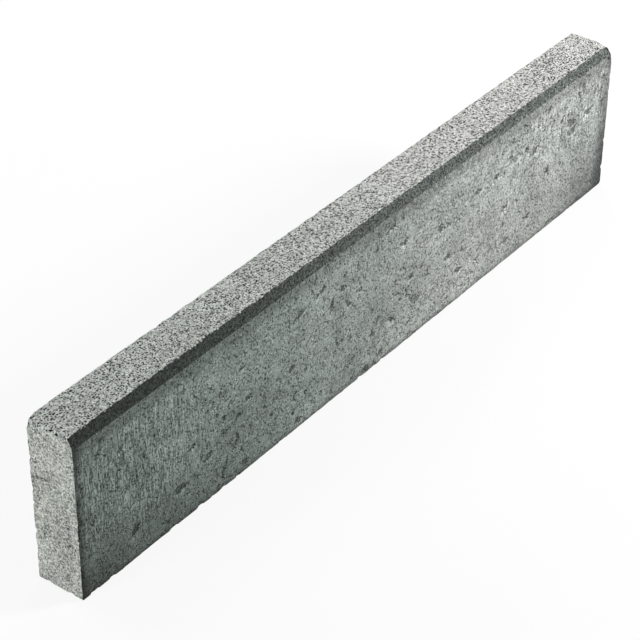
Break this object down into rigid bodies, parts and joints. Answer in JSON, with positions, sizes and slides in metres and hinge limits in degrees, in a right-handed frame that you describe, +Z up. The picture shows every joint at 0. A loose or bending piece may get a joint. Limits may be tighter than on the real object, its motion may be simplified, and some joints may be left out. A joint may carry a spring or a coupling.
{
  "type": "concrete kerb stone",
  "caption": "Slim upright concrete edging kerb with a chamfered long top edge on its show face, for bordering paths, lawns and paving.",
  "frame": {"origin": "centre of the bed, on the ground under the middle of the stone", "axes": "+X along the kerb line, +Y from the chamfered show face to the plain back face, +Z up from the bed to the top"},
  "size_m": [1, 0.06, 0.2],
  "materials": {
    "pressed_concrete": "rough pressed concrete, open fine grain with small pits"
  },
  "bodies": {
    "root": {"kerb_stone": "pressed_concrete"}
  },
  "joints": []
}
